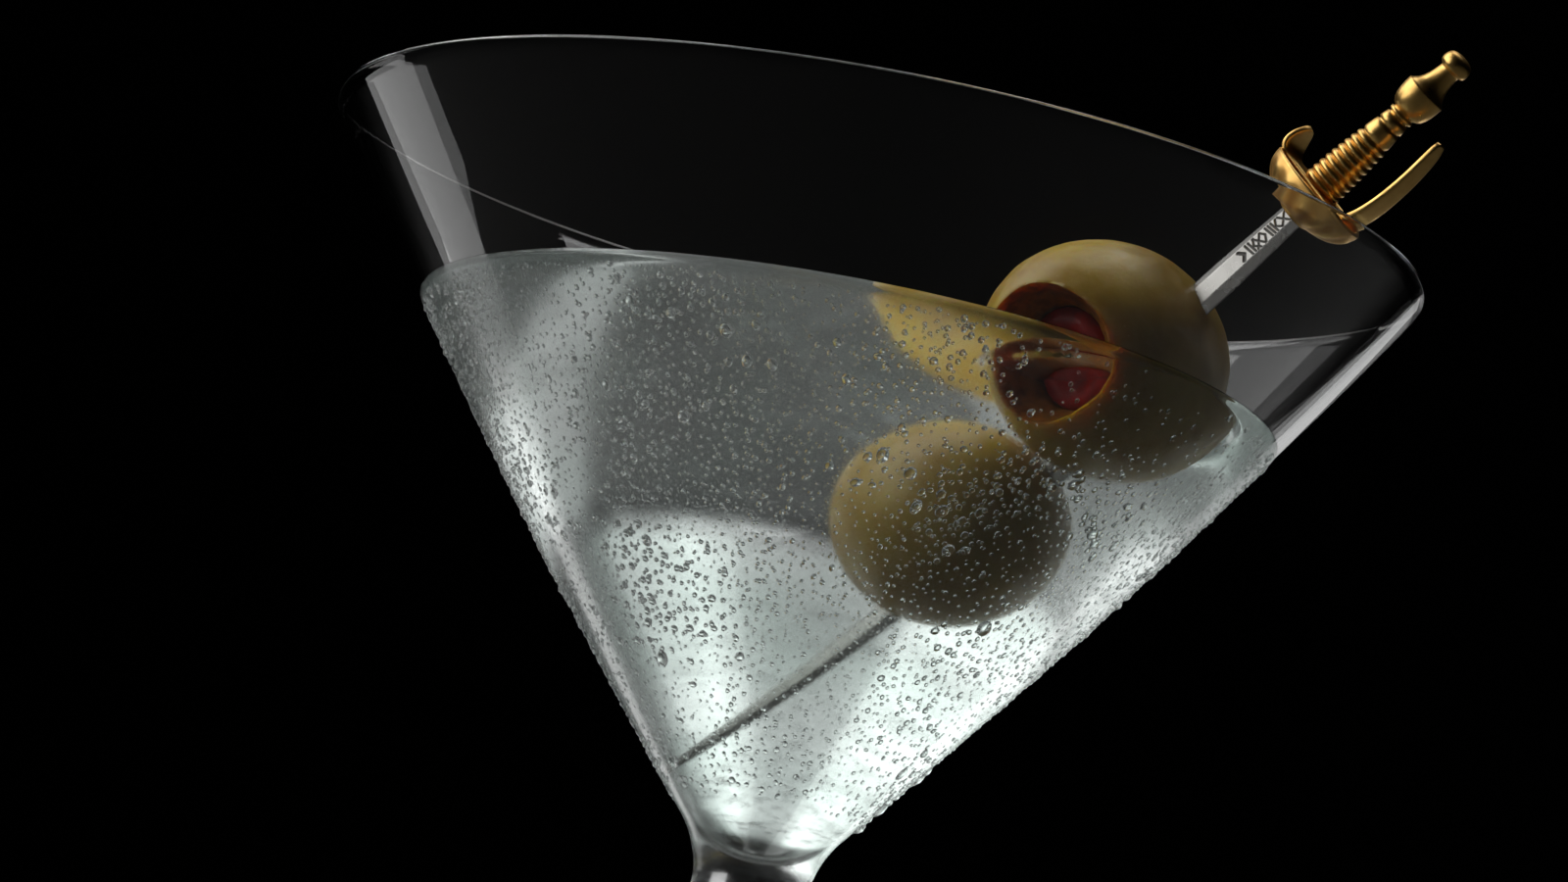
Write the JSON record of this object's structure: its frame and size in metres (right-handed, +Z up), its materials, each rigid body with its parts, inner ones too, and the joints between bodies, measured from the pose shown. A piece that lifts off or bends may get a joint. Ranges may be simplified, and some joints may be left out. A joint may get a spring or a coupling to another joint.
{
  "type": "martini cocktail",
  "caption": "Stemmed V-shaped glass holding a clear chilled cocktail, garnished with olives threaded on a small gilt-hilted sword pick.",
  "frame": {"origin": "centre of the foot's underside, on the surface that the glass stands on", "axes": "+Z up the stem to the rim; -Y is the front, where the viewer stands; +X is to the viewer's right, where the pick leans"},
  "size_m": [0.11, 0.11, 0.1896],
  "materials": {
    "glass": "clear polished glass, frosted with condensation below the level of the drink",
    "drink": "clear spirit with a faint grey-green cast",
    "olive": "moist khaki olive skin",
    "pimento": "wet red pepper",
    "steel": "satin steel with an engraved band",
    "gilt": "polished gilding"
  },
  "bodies": {
    "root": {"glass": "glass", "drink": "drink", "olive_upper": "olive", "pimento": "pimento", "olive_lower": "olive", "blade": "steel", "guard": "gilt", "handle": "gilt"}
  },
  "joints": []
}
